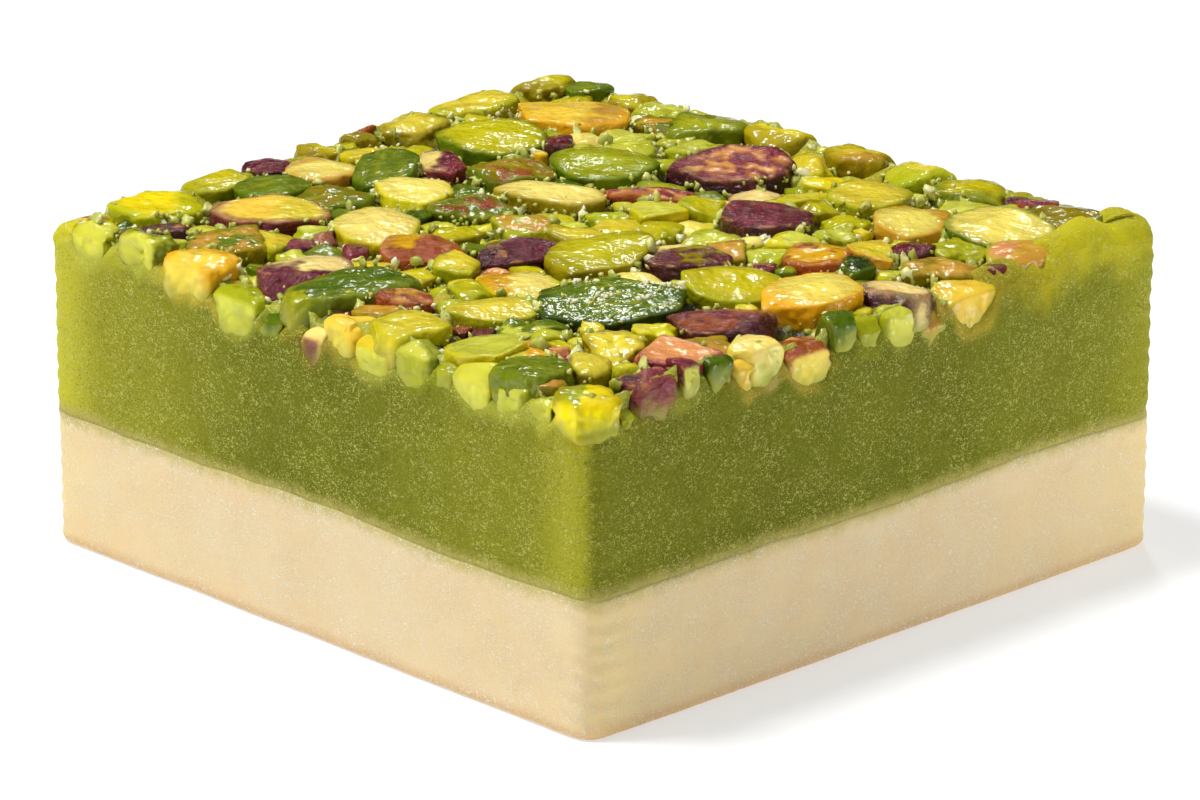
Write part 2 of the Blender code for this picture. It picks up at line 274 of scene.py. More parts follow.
# The larger chips: x, y, width and depth as seen from the near corner, height of the top, looks, thickness.
CHIPS = (
    (-19.7, -25.4, 4.8, 7.1, 34.5, "straw grass lump"),
    (28, -25.3, 6.5, 8.2, 34.5, "straw olive lump spots=olive"),
    (27.8, -19.1, 4.4, 4.9, 34.5, "straw lime lump"),
    (26.6, 13.6, 4.7, 7.1, 35, "straw tan chunk"),
    (1.9, 30.9, 4.7, 5.5, 35, "straw lime lump"),
    (3.8, 12.7, 5.2, 6, 35, "lime grass chunk"),
    (6.7, 3.5, 5.2, 6.6, 35, "lime grass chunk"),
    (-15.9, 22, 5.7, 5.5, 35, "mint grass lump"),
    (-28.5, 35.3, 4.7, 4.4, 35, "lime olive lump"),
    (1.4, -3.2, 5.4, 6, 35, "straw olive lump"),
    (-7.4, -12.3, 6.8, 4.4, 35, "lime olive lump"),
    (19, 6, 5.4, 5.5, 34.5, "mint grass lump"),
    (19.3, -27.8, 8.3, 5.5, 34.5, "moss leaf lump spots=mint"),
    (-34.8, 35.1, 5.7, 3.8, 35, "moss leaf chunk"),
    (1.6, 8.1, 6.8, 4.9, 35, "mint lime slab"),
    (-25.8, 3.6, 5.2, 6, 35, "cream magenta chunk right=plum"),
    (27.5, 36.9, 5.4, 3.3, 35, "plum wine chunk"),
    (-37.9, -9.3, 6.2, 3.8, 35, "plum wine slab"),
    (35, -19.7, 6.2, 5.5, 34.5, "tan olive lump spots=olive"),
    (16.3, 3, 5.2, 6, 35, "tan olive slab"),
    (-2.1, 11.8, 10.4, 3.3, 35, "blush rust slab spots=magenta"),
    (-4.5, -5.2, 6.2, 6, 35, "tan grass chunk spots=grass"),
    (-29.7, -33.9, 8.3, 3.2, 35, "wine wine slab"),
    (-36.5, -36, 4.2, 4.6, 35, "straw lime chunk far=rust"),
    (-13.9, -28.5, 3.6, 4.6, 34.5, "mint grass lump"),
    (-16.9, -24.6, 3.6, 3.6, 34.5, "magenta wine chunk"),
    (-16.3, -21.6, 3.1, 3.4, 34.5, "blush plum chunk"),
    (-11.2, -22.3, 3.1, 3.8, 34.5, "plum magenta chunk"),
    (-6.3, -24.9, 4.2, 5.6, 34.5, "straw lime chunk"),
    (-15.1, -9.4, 3.6, 3.8, 34.5, "leaf forest chunk"),
    (0, -18.6, 4.4, 6.4, 35, "straw grass slab"),
    (7.1, -23.9, 4.5, 5.1, 35, "lime grass chunk"),
    (4.8, -30.6, 6.6, 3.3, 35.2, "rust rust slab spots=tan"),
    (13.4, -31.6, 2.5, 3.4, 34, "rust wine chunk"),
    (15.8, -30.6, 2.9, 3.3, 34, "plum wine chunk"),
    (21.2, -27.3, 4.2, 3.4, 34.2, "mint grass lump"),
    (22.5, -31.2, 3.4, 3.6, 34.5, "honey tan lump"),
    (25.8, -30.6, 3.4, 3.6, 34.5, "blush magenta chunk"),
    (31.1, -31.4, 4.2, 5.6, 34.5, "straw olive chunk"),
    (24.6, -33.2, 5.6, 3.4, 34.4, "mint lime slab right=honey"),
    (22, 2, 2.6, 3, 34.5, "magenta plum chunk"),
    (24.4, 3.4, 3, 3.3, 34.5, "grass leaf lump"),
    (27.8, 9.6, 3.6, 4.6, 34.7, "forest leaf chunk"),
    (7.5, 27.2, 5, 3.8, 35, "lemon lime chunk"),
    (-9.8, 21, 4.2, 3.8, 34.5, "mint grass lump"),
    (-21.5, 17.2, 3.2, 4.6, 35.5, "plum wine slab"),
    (-19.5, 30.6, 6.2, 3.8, 35, "moss olive lump spots=tan"),
    (-38.3, -1.5, 5.2, 3.3, 35, "lime olive lump"),
    (-38.9, 4.7, 4.2, 3.4, 35, "olive olive lump"),
    (-33.6, 1.1, 5.2, 3.8, 35, "straw lime lump"),
    (-40.5, 7.7, 2.9, 3, 35.2, "tan rust lump"),
    (-1.2, 4.2, 6.2, 4.4, 34.5, "mint grass lump spots=grass"),
    (32, 20.5, 5.5, 4.4, 34.6, "lime grass lump"),
    (20, 15.5, 5, 4, 34.6, "mint grass lump"),
    (8, 18, 4.6, 4.6, 34.6, "mint lime lump"),
    (29, 36.5, 4, 3, 35.2, "magenta rust slab"),
    # Along the side at -Y
    (-33.5, -36.4, 7.5, 5.5, 35.2, "mint grass lump", 4.4),
    (-25.4, -36.6, 6.4, 6, 36.3, "grass moss lump face=mint near=mint", 5),
    (-5.2, -38, 4.4, 3, 32.6, "leaf forest lump", 3.6),
    (0.6, -38.8, 3.6, 2.6, 32.6, "cream cream chunk face=plum", 5),
    (4.8, -37.9, 5.2, 4.4, 34.7, "amber amber lump", 4.4),
    (9.4, -39, 6.4, 4.2, 33.4, "straw straw slice face=mint", 5.2),
    (15.4, -38.4, 6, 4.4, 34.2, "mint moss lump face=grass", 5),
    (19.6, -39.2, 3, 3, 33.4, "grass moss lump", 3),
    (24, -38.9, 6.4, 4.4, 34.3, "mint lime slice face=mint", 5.8),
    (28.6, -39.2, 4.6, 3.6, 33.8, "mint grass lump", 4),
    (31.6, -37.6, 3, 3, 34.2, "tan moss lump", 3),
    (33.4, -39.3, 4.4, 3.6, 33.2, "mint grass lump", 3.4),
    # Along the side at +X
    (40, -35, 3.4, 3.4, 32.6, "grass lime lump", 3),
    (40, -27, 5, 4.4, 35.6, "magenta plum slab face=mint", 4.4),
    (40.4, -23, 4, 4, 35, "leaf forest lump", 4),
    (40.6, -19.2, 4.2, 3.6, 34, "amber tan slice", 4.4),
    (39.9, -6.2, 4.4, 4.4, 35.6, "leaf moss chunk", 4.4),
    (40.7, -2.4, 4, 4, 34.2, "grass grass lump", 4),
    (40.9, 2, 5, 4, 34.4, "mint grass slice", 5.6),
    (40.9, 6.2, 3, 2.6, 32.4, "blush tan lump", 3),
    (40.4, 17.2, 3.4, 4.4, 35, "plum wine slab", 3.6),
)
# What fills the gaps, and how often each look comes up.
FILLING = {
    "mint grass lump": 15,
    "mint lime chunk": 12,
    "straw lime chunk": 12,
    "lime grass lump": 12,
    "lime olive chunk": 10,
    "butter lime chunk": 5,
    "grass moss lump": 8,
    "moss leaf chunk": 6,
    "leaf forest chunk": 4,
    "amber honey chunk": 3,
    "tan olive lump": 4,
    "blush rust chunk": 3,
    "plum wine chunk": 4,
    "cream magenta chunk": 2,
}


# ----- Small tools


def scatter(place, seed):
    """A fixed random number from -1 to 1 for each whole-number place."""
    x, y, z = place.T
    mixed = (x * 73856093) ^ (y * 19349663) ^ (z * 83492791) ^ (seed * 6542989)
    mixed = (mixed ^ (mixed >> 13)) * 1274126177 & 0xFFFFFFFF
    mixed = (mixed ^ (mixed >> 15)) * 668265263 & 0xFFFFFFFF
    return (mixed ^ (mixed >> 16)) / 2**31 - 1


def wavy(points, length, seed):
    """Smooth noise from -1 to 1 at each point, whose hills are about two lengths apart."""
    place = points / length
    low = np.floor(place).astype(np.int64)
    part = place - low
    part = part * part * (3 - 2 * part)
    total = np.zeros(len(points))
    for corner in itertools.product((0, 1), repeat=3):
        weight = np.prod(np.where(np.array(corner, bool), part, 1 - part), axis=1)
        total += weight * scatter(low + corner, seed)
    return total


def waves(points, *layers, base=0):
    """Layers of smooth noise, each with a height, a length and a seed, on a base."""
    for height, length, seed in layers:
        base = base + height * wavy(points, length, seed)
    return base


def smooth(low, high, value):
    part = np.clip((value - low) / (high - low), 0, 1)
    return part * part * (3 - 2 * part)


def linear(colour):
    """An sRGB colour from 0 to 255 as linear values."""
    share = np.array(colour, float) / 255
    return np.where(share <= 0.04045, share / 12.92, ((share + 0.055) / 1.055) ** 2.4)


def blend(first, second, share):
    return first + (second - first) * np.asarray(share)[..., None]


def toward(angle):
    """The level direction at an angle."""
    return np.array((math.cos(angle), math.sin(angle)))


def on_floor(places):
    """Places in the plane as points at height 0."""
    return np.column_stack([places, np.zeros(len(places))])


def ease(values):
    """The values along a closed ring, each drawn halfway towards its neighbours."""
    return (np.roll(values, 1, axis=0) + 2 * values + np.roll(values, -1, axis=0)) / 4


def link(name, data):
    """A new object at the origin, in the scene."""
    obj = bpy.data.objects.new(name, data)
    bpy.context.scene.collection.objects.link(obj)
    return obj


def make_mesh(name, points, faces, material, attributes):
    """A smooth mesh object from arrays. An attribute has one number, or three or four, for each point."""
    mesh = bpy.data.meshes.new(name)
    mesh.from_pydata(points * MM, [], faces if isinstance(faces, list) else faces.tolist())
    mesh.update()
    mesh.shade_smooth()
    for label, values in attributes.items():
        width = 1 if np.ndim(values) == 1 else values.shape[1]
        data_type = {1: "FLOAT", 3: "FLOAT_VECTOR", 4: "FLOAT_COLOR"}[width]
        field = {1: "value", 3: "vector", 4: "color"}[width]
        attribute = mesh.attributes.new(label, data_type, "POINT")
        attribute.data.foreach_set(field, np.ascontiguousarray(values, np.float32).ravel())
    mesh.materials.append(material)
    return link(name, mesh)


# ----- Materials


class Graph:
    """Short calls that add nodes to a tree. A label has _ for a space, and _2 is the third socket."""

    def __init__(self, tree):
        self.tree = tree

    def add(self, kind, settings=(), **inputs):
        node = self.tree.nodes.new(kind)
        for field, value in dict(settings).items():
            setattr(node, field, value)
        for label, value in inputs.items():
            self.put(node, label, value)
        return node

    def put(self, node, label, value):
        socket = node.inputs[int(label[1:]) if label[1:].isdigit() else label.replace("_", " ")]
        if isinstance(value, bpy.types.NodeSocket):
            self.tree.links.new(value, socket)
        else:
            socket.default_value = value

    def math(self, operation, first, second=0.0, third=0.0):
        inputs = {"_0": first, "_1": second, "_2": third}
        return self.add("ShaderNodeMath", {"operation": operation}, **inputs).outputs[0]


class Nodes(Graph):
    """The nodes of one new material."""

    def __init__(self, name):
        self.material = bpy.data.materials.new(name)
        self.material.use_nodes = True
        super().__init__(self.material.node_tree)
        self.shader = self.tree.nodes["Principled BSDF"]

    def set(self, **inputs):
        for label, value in inputs.items():
            self.put(self.shader, label, value)

    def attribute(self, label, output="Fac"):
        return self.add("ShaderNodeAttribute", {"attribute_name": label}).outputs[output]

    def place(self, scale=1.0, attribute=None):
        """Object coordinates in millimetres, or those of an attribute, each way divided by scale."""
        if attribute:
            source = self.attribute(attribute, "Vector")
        else:
            source = self.add("ShaderNodeTexCoord").outputs["Object"]
        unit = 1 if attribute else MM
        size = [1 / (unit * length) for length in (scale if isinstance(scale, tuple) else (scale,) * 3)]
        return self.add("ShaderNodeMapping", Vector=source, Scale=size).outputs["Vector"]

    def noise(self, scale, attribute=None, detail=2.0, rough=0.5, distort=0.0):
        """Noise from 0 to 1 whose features are about one scale across."""
        place = self.place(scale, attribute)
        settings = {"Scale": 1.0, "Detail": detail, "Roughness": rough, "Distortion": distort}
        return self.add("ShaderNodeTexNoise", Vector=place, **settings).outputs["Fac"]

    def spots(self, scale, low, high, to_low=0.0, to_high=1.0, **kind):
        """Noise carried through a ramp."""
        return self.ramp(self.noise(scale, **kind), low, high, to_low, to_high)

    def ramp(self, value, low, high, to_low=0.0, to_high=1.0):
        """Carries value from the range low..high to the range to_low..to_high, smoothly."""
        ends = {"From_Min": low, "From_Max": high, "To_Min": to_low, "To_Max": to_high}
        node = self.add("ShaderNodeMapRange", {"interpolation_type": "SMOOTHSTEP"}, Value=value, **ends)
        return node.outputs["Result"]

    def mix(self, share, first, second, how="MIX"):
        settings = {"data_type": "RGBA", "blend_type": how, "clamp_result": True}
        return self.add("ShaderNodeMix", settings, _0=share, _6=first, _7=second).outputs[2]

    def bump(self, heights):
        """Bump from (height, depth in millimetres) pairs, one on the other."""
        normal = None
        for height, depth in heights:
            node = self.add("ShaderNodeBump", Height=height, Distance=depth * MM, Strength=1.0)
            if normal:
                self.put(node, "Normal", normal)
            normal = node.outputs["Normal"]
        self.set(Normal=normal, Coat_Normal=normal)


def rgba(colour):
    """The linear colour, with a fourth channel of 1, of an sRGB colour or the name of one."""
    return (*linear(COLOURS[colour] if isinstance(colour, str) else colour), 1)


def opaque(colours):
    """Colours with a fourth channel of 1."""
    return np.hstack([colours, np.ones((len(colours), 1))])


def soften(nodes, weight, radius, reach):
    """Light that goes a little way into the food."""
    nodes.shader.subsurface_method = "RANDOM_WALK"
    nodes.set(Subsurface_Weight=weight, Subsurface_Radius=radius, Subsurface_Scale=reach * MM)


def paste_material(name, main, edge, meeting, speck_and_glint, grain_depth, painted_pit_shade, stained=False):
    """Fine-grained nut paste, paler at the upright edges as a painted glow, with painted shade in its pits
    and pale specks that are partly painted glints, going over to the other layer at the seam.
    """
    nodes = Nodes(name)
    colour = nodes.mix(nodes.spots(7, 0.3, 0.7, detail=3, rough=0.6), rgba(main[0]), rgba(main[1]))
    # The corner attribute paints a glow of light at the upright edges, in the edge colour.
    colour = nodes.mix(nodes.attribute("corner"), colour, rgba(edge))
    ragged = nodes.math("MULTIPLY_ADD", nodes.noise(1.6, detail=3), 1.6, -0.8)
    seam = nodes.math("ADD", nodes.attribute("seam"), ragged)
    colour = nodes.mix(nodes.ramp(seam, -0.2, 1.7, 1.0, 0.0), colour, rgba(meeting))
    # Darker and more orange towards the bottom.
    colour = nodes.mix(nodes.math("MULTIPLY", nodes.attribute("foot"), 0.45), colour, rgba("darker foot"))
    grit = nodes.noise(0.32, detail=2, rough=0.7)
    # Darker where the grit is low, in the grain's pits: painted shade.
    colour = nodes.mix(nodes.ramp(grit, 0.45, 0.3, 0.0, painted_pit_shade), colour, rgba([c * 0.7 for c in main[0]]))
    if stained:
        colour = nodes.mix(nodes.attribute("stained"), colour, nodes.attribute("stain", "Color"))
    # Pale specks that are partly painted glints: where glisten is high the colour goes over to the speck
    # colour and the roughness drops.
    curls = nodes.spots((0.32, 0.32, 0.24), 0.58, 0.66, detail=1, distort=1.2)
    fine = nodes.spots(0.16, 0.6, 0.68, 0.0, 0.8, detail=1)
    patchy = nodes.spots(4, 0.3, 0.6, 0.3, 1.0)
    glisten = nodes.math("MULTIPLY", nodes.math("MAXIMUM", curls, fine), patchy)
    colour = nodes.mix(nodes.math("MULTIPLY", glisten, speck_and_glint[1]), colour, rgba(speck_and_glint[0]))
    nodes.set(Base_Color=colour, Roughness=nodes.ramp(glisten, 0, 1, 0.6, 0.25), Specular_IOR_Level=0.06)
    nodes.bump(((nodes.noise(1.3, detail=3), grain_depth * 1.6), (grit, grain_depth), (glisten, 0.04)))
    soften(nodes, 0.3, (1.0, 0.75, 0.3), 1.4)
    return nodes.material


def kernel_material(name):
    """Waxy flesh in the tone of the mesh, wrinkled skin where the mesh says so, and smears of paste."""
    nodes = Nodes(name)
    tone = nodes.attribute("tone", "Color")
    skin = nodes.attribute("skin")
    bared = nodes.attribute("bared")
    fibres = nodes.noise((6.0, 0.9, 0.9), "grain", detail=1.5, rough=0.5)
    streak = nodes.math("MULTIPLY", nodes.ramp(fibres, 0.5, 0.74, 0.0, 0.14), bared)
    colour = nodes.mix(nodes.ramp(fibres, 0.5, 0.28, 0.0, 0.14), tone, tone, "MULTIPLY")
    colour = nodes.mix(streak, colour, rgba("fibre"))
    pores = nodes.noise(0.3, "grain", detail=2)
    colour = nodes.mix(nodes.ramp(pores, 0.66, 0.74, 0.0, 0.15), colour, rgba("pore"))
    wrinkles = nodes.noise((1.2, 0.6, 0.6), "grain", detail=4, rough=0.65, distort=1.0)
    vein = nodes.ramp(wrinkles, 0.54, 0.68, 0.0, 0.4)
    skin_colour = nodes.mix(vein, tone, rgba("vein"))
    skin_colour = nodes.mix(nodes.ramp(wrinkles, 0.5, 0.3, 0.0, 0.7), skin_colour, rgba("wrinkle"))
    colour = nodes.mix(skin, colour, skin_colour)
    colour = nodes.mix(nodes.attribute("smear"), colour, rgba("smear"))
    uneven = nodes.spots(4, 0.35, 0.65, 0.25, 1.0, attribute="grain", detail=1)
    cut = nodes.attribute("cut")
    gloss = nodes.spots(0.9, 0.35, 0.65, 0.12, 0.4)
    nodes.set(Base_Color=colour, Roughness=nodes.math("MULTIPLY_ADD", cut, 0.3, gloss))
    nodes.set(Coat_Weight=nodes.math("MULTIPLY_ADD", skin, 0.25, 0.55))
    nodes.bump(
        (
            (nodes.math("MULTIPLY", fibres, bared), 0.05),
            (nodes.math("MULTIPLY", nodes.noise(2.1, "grain", detail=1, rough=0.4), uneven), 0.42),
            (nodes.noise(0.8, "grain", detail=1), 0.15),
            (pores, 0.03),
            (nodes.math("MULTIPLY", wrinkles, skin), 0.35),
        )
    )
    nodes.set(Coat_Roughness=0.07, IOR=1.42, Specular_IOR_Level=0.06)
    soften(nodes, 0.18, (1.0, 0.8, 0.2), 1.2)
    return nodes.material


def filling_material(name):
    """Crushed kernels and paste, pale where lumps stand up, with painted shade: dark green low down and in
    the lumps' hollows.
    """
    nodes = Nodes(name)
    lumps = nodes.noise(1.1, detail=3, rough=0.65)
    # Darker in the hollows of the lumps: painted shade.
    colour = nodes.mix(nodes.ramp(lumps, 0.35, 0.6), rgba("filling"), rgba("grass"))
    colour = nodes.mix(nodes.ramp(lumps, 0.55, 0.75), colour, rgba("mint"))
    colour = nodes.mix(nodes.spots(3.1, 0.6, 0.7, 0.0, 0.7), colour, rgba("tan"))
    colour = nodes.mix(nodes.attribute("low"), colour, rgba("filling in shade"))
    colour = nodes.mix(nodes.attribute("rim"), colour, rgba("filling at the edge"))
    nodes.set(Base_Color=colour, Roughness=0.35)
    nodes.bump(((lumps, 0.5), (nodes.noise(0.35, detail=2), 0.15)))
    soften(nodes, 0.2, (1.0, 0.8, 0.25), 1.0)
    return nodes.material


def crumb_material(name):
    nodes = Nodes(name)
    shade = nodes.attribute("shade")
    colour = nodes.mix(nodes.ramp(shade, 0.0, 0.7), rgba("dark crumb"), rgba("light crumb"))
    colour = nodes.mix(nodes.ramp(shade, 0.72, 1.0), colour, rgba("white crumb"))
    nodes.set(Base_Color=colour, Roughness=0.35, Coat_Weight=0.2, Coat_Roughness=0.1)
    nodes.bump(((nodes.noise(0.25), 0.04),))
    soften(nodes, 0.3, (1.0, 0.9, 0.5), 0.8)
    return nodes.material


# ----- The two layers


def cad_arrays(node):
    """The corners of a CAD node in millimetres, and the outward normal of each face."""
    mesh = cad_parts[node].data
    return np.array([v.co for v in mesh.vertices]) / MM, np.array([f.normal for f in mesh.polygons])


def block_outline():
    """Evenly spaced points on the block's outline from above, anticlockwise, and its outward directions."""
    points = cad_arrays("almond_base")[0]
    points = points[points[:, 2] > points[:, 2].max() - 3][:, :2]
    rim = []
    for angle in np.linspace(-math.pi, math.pi, 720, endpoint=False):
        rim.append(points[np.argmax(points @ (math.cos(angle), math.sin(angle)))])
    rim = np.array([p for p, before in zip(rim, rim[-1:] + rim[:-1]) if np.hypot(*(p - before)) > 0.05])
    closed = np.vstack([rim, rim[:1]])
    run = np.concatenate([[0], np.cumsum(np.hypot(*np.diff(closed, axis=0).T))])
    even = np.linspace(0, run[-1], int(run[-1] / COLUMN_STEP), endpoint=False)
    ring = np.stack([np.interp(even, run, closed[:, 0]), np.interp(even, run, closed[:, 1])], axis=1)
    for _ in range(6):
        ring = ease(ring)
    along = np.roll(ring, -1, axis=0) - np.roll(ring, 1, axis=0)
    along /= np.hypot(*along.T)[:, None]
    return ring, np.stack([along[:, 1], -along[:, 0]], axis=1)


OUTLINE, OUTWARD = block_outline()
CORNERS = np.array([OUTLINE[np.argmax(OUTLINE @ way)] for way in ((1, 1), (-1, 1), (-1, -1), (1, -1))])
# The seam lies a little below the top of the almond node.
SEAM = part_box("almond_base")[1].z / MM - 0.4


def block_sides():
    """The upright planes of the block's sides and corners, each as a level normal and a distance."""
    planes = []
    for angle in np.linspace(0, math.tau, 8, endpoint=False):
        way = toward(angle)
        met = np.argmax(OUTLINE @ way / np.hypot(*OUTLINE.T))
        planes.append((OUTWARD[met], OUTWARD[met] @ OUTLINE[met]))
    return planes


BLOCK_SIDES = block_sides()


def room_at(places):
    """How far places lie inside the nearest side or corner of the block."""
    return np.min([reach - places[:, :2] @ normal for normal, reach in BLOCK_SIDES], axis=0)


def seam_height(ring):
    return waves(on_floor(ring), (0.35, 21, 3), (0.12, 4, 4), base=SEAM)


def corner_distances(points):
    return np.array([np.hypot(*(points[:, :2] - corner).T) for corner in CORNERS])


def painted_corner_glow(glow):
    """The painted glow at each upright edge, a paler colour standing in for light through the thin edges,
    fading along the sides. The edge at +X, -Y has one for each side.
    """
    away = corner_distances(OUTLINE)
    nearest, away = away.argmin(axis=0), away.min(axis=0)
    strength = np.array(glow[:4])[nearest]
    strength += (nearest == 3) * (glow[4] - glow[3]) * smooth(-0.3, 0.3, OUTWARD @ (0.7, 0.7))
    return (0.6 * (1 - smooth(1.2, 8.5, away)) + 0.4 * (1 - smooth(4, 36, away))) * strength


def bank(points):
    """How much higher the pistachio paste stands towards the corner at +X, +Y."""
    away = corner_distances(points)[0]
    x, y = points[:, 0], points[:, 1]
    return BANK_HEIGHT * smooth(5, 30, y) * smooth(35, 39, x) * smooth(-2.5, 4.5, away)


def paste_line(pieces):
    """How high the pistachio paste stands at the sides, lower at a kernel, and its stain's colour there."""
    flat = on_floor(OUTLINE)
    height = PASTE_EDGE + 0.7 * wavy(flat, 5, 8)
    height += bank(OUTLINE)
    stain = np.tile(linear(TONES["lime"]), (len(OUTLINE), 1))
    weight = np.full(len(OUTLINE), 0.35)
    for piece in pieces:
        away = OUTLINE - piece.middle[:2]
        distance = np.hypot(*away.T)
        nearest = distance.argmin()
        normal = OUTWARD[nearest]
        part = away[nearest] @ normal / piece.support(normal)
        if part > 1:
            continue
        along = np.array([-normal[1], normal[0]])
        half = piece.support(along) * math.sqrt(1 - max(part, 0) ** 2) + 0.3
        share = np.where(distance < 3 * half + 2, np.abs(away @ along) / half, 9)
        raised = bank(OUTLINE[nearest : nearest + 1])[0]
        if raised > 2:
            continue
        shown = piece.middle[2] - piece.below() + 0.7 + raised
        height = np.minimum(height, shown + piece.depth * np.clip(share, 0, 9) ** 5)
        stain[share < 1] = linear(TONES[piece.tones["face"]])
        weight[share < 0.9] = 0.42
    crest = bank(OUTLINE) / BANK_HEIGHT
    weight = np.maximum(weight, 0.75 * crest)
    stain = blend(stain, linear(TONES["lime"]) * 1.15, crest)
    for turn in range(14):
        if turn < 5:
            height = ease(height)
        weight, stain = ease(weight), ease(stain)
    height += (0.3 + 0.4 * crest) * wavy(flat, 1.1, 9) + (0.15 + 0.2 * crest) * wavy(flat, 0.6, 10)
    return height, stain, weight


def paste_top(points):
    """How high the pistachio paste stands between the kernels."""
    base = PASTE_MIDDLE + 0.8 * bank(points)
    return waves(on_floor(points), (0.6, 4, 11), (0.25, 1.3, 12), base=base)


def wall_dents(points, depth):
    """How far the cut side lies inside the plain outline: broad unevenness, soft pits and grain."""
    broad = 0.14 * wavy(points, 9, 21)
    pits = 0.35 * np.clip(wavy(points, 1.5, 22) - 0.45, 0, 1) + 0.05 * wavy(points, 0.9, 23)
    away = corner_distances(points).min(axis=0)
    steps = np.cos(points[:, 2] * math.tau / 1.9 + 2 * wavy(points, 12, 25))
    steps = 0.07 * (1 - smooth(0.5, 6, away)) * steps
    torn = 0.2 * smooth(27, 32, points[:, 2]) * wavy(points, 1.3, 26)
    return broad + depth * pits + 0.035 * wavy(points, 0.5, 24) + steps + torn


def ring_at(height, inset=0.0, depth=1.0):
    """The outline at a height, moved inwards by an inset and by the side's dents."""
    points = np.column_stack([OUTLINE, np.broadcast_to(height, len(OUTLINE))])
    inward = inset + (wall_dents(points, depth) if depth else 0)
    points[:, :2] -= OUTWARD * np.broadcast_to(inward, len(OUTLINE))[:, None]
    return points


def loft(rings):
    """One closed body through rings of as many points each, ending in a pole at either end."""
    points = np.vstack([*rings, rings[0].mean(axis=0), rings[-1].mean(axis=0)])
    number = np.arange(len(points) - 2).reshape(len(rings), -1)
    following = np.roll(number, -1, axis=1)
    quads = np.stack([number[:-1], following[:-1], following[1:], number[1:]], axis=-1).reshape(-1, 4)
    ends = ((following[0], number[0], len(points) - 2), (number[-1], following[-1], len(points) - 1))
    caps = [np.stack([one, two, np.full(len(one), pole)], axis=1).tolist() for one, two, pole in ends]
    return points, quads.tolist() + caps[0] + caps[1]


def make_almond_base(material):
    seam = seam_height(OUTLINE)
    rows = int(SEAM / ROW_STEP)
    rings = []
    for angle in np.linspace(0, math.pi / 2, 5):
        inset = FOOT_RADIUS * (1 - math.sin(angle))
        rings.append(ring_at(FOOT_RADIUS * (1 - math.cos(angle)), inset, 0.4 * math.sin(angle)))
    for share in np.linspace(0, 1, rows)[1:]:
        height = FOOT_RADIUS + (seam - FOOT_RADIUS) * share
        rings.append(ring_at(height, 0, 0.4 + 0.6 * smooth(0.6, 1, share)))
    points, faces = loft(rings)
    below = np.append(np.tile(seam, len(rings)) - points[:-2, 2], [9, 0])
    # corner is the painted glow at the upright edges.
    corner = np.append(np.tile(painted_corner_glow(ALMOND_PAINTED_GLOW), len(rings)), [0, 0])
    # foot says how near the bottom a point lies, where the paste turns darker and more orange.
    foot = 1 - smooth(0.1, 1.8, points[:, 2])
    attributes = {"seam": below, "corner": corner, "foot": foot}
    return make_mesh("almond_paste", points, faces, material, attributes)


def make_pistachio_paste(material, line):
    seam = seam_height(OUTLINE)
    edge, stain, weight = line
    rows = int((PASTE_EDGE - SEAM) / ROW_STEP)
    rings = [ring_at(seam + (edge - 0.3 - seam) * share) for share in np.linspace(0, 1, rows)]
    for rise, inset in BROW:
        rings.append(ring_at(edge + rise, inset))
    for ring, share in zip(rings[-len(BROW) - 5 :], np.linspace(0, 1, len(BROW) + 5)):
        rough = np.maximum(waves(ring, (1, 1.3, 28), (0.5, 0.6, 29)), -0.4)
        ring[:, :2] -= OUTWARD * (0.3 * share * rough)[:, None]
    lip = rings[-1]
    centre = OUTLINE.mean(axis=0)
    for inset in TOP_RINGS:
        ring = lip.copy()
        away = lip[:, :2] - centre
        ring[:, :2] -= away * (inset / HALF_WIDTH)
        ring[:, 2] += (paste_top(ring[:, :2]) - lip[:, 2]) * smooth(0, 4, inset)
        rings.append(ring)
    points, faces = loft(rings)
    count = len(rings)
    above = np.append(points[:-2, 2] - np.tile(seam, count), [0, 9])
    below = np.tile(edge, count) - points[:-2, 2] + 0.7 * wavy(points[:-2], 1.5, 27)
    column = np.tile(np.arange(len(edge)), count) + np.rint(4 * wavy(points[:-2], 1.8, 33)).astype(int)
    column %= len(edge)
    fade = 1.3 + 4 * bank(OUTLINE)[column] / BANK_HEIGHT
    stained = np.append(weight[column] * (1 - smooth(-0.3, fade, below)), [0, 0])
    colour = np.vstack([stain[column], stain[:2]])
    # corner is the painted glow at the upright edges.
    corner = np.append(np.tile(painted_corner_glow(PISTACHIO_PAINTED_GLOW), count), [0, 0])
    attributes = {"seam": above, "corner": corner, "stained": stained, "stain": opaque(colour)}
    return make_mesh("pistachio_paste", points, faces, material, attributes)


# ----- The kernels


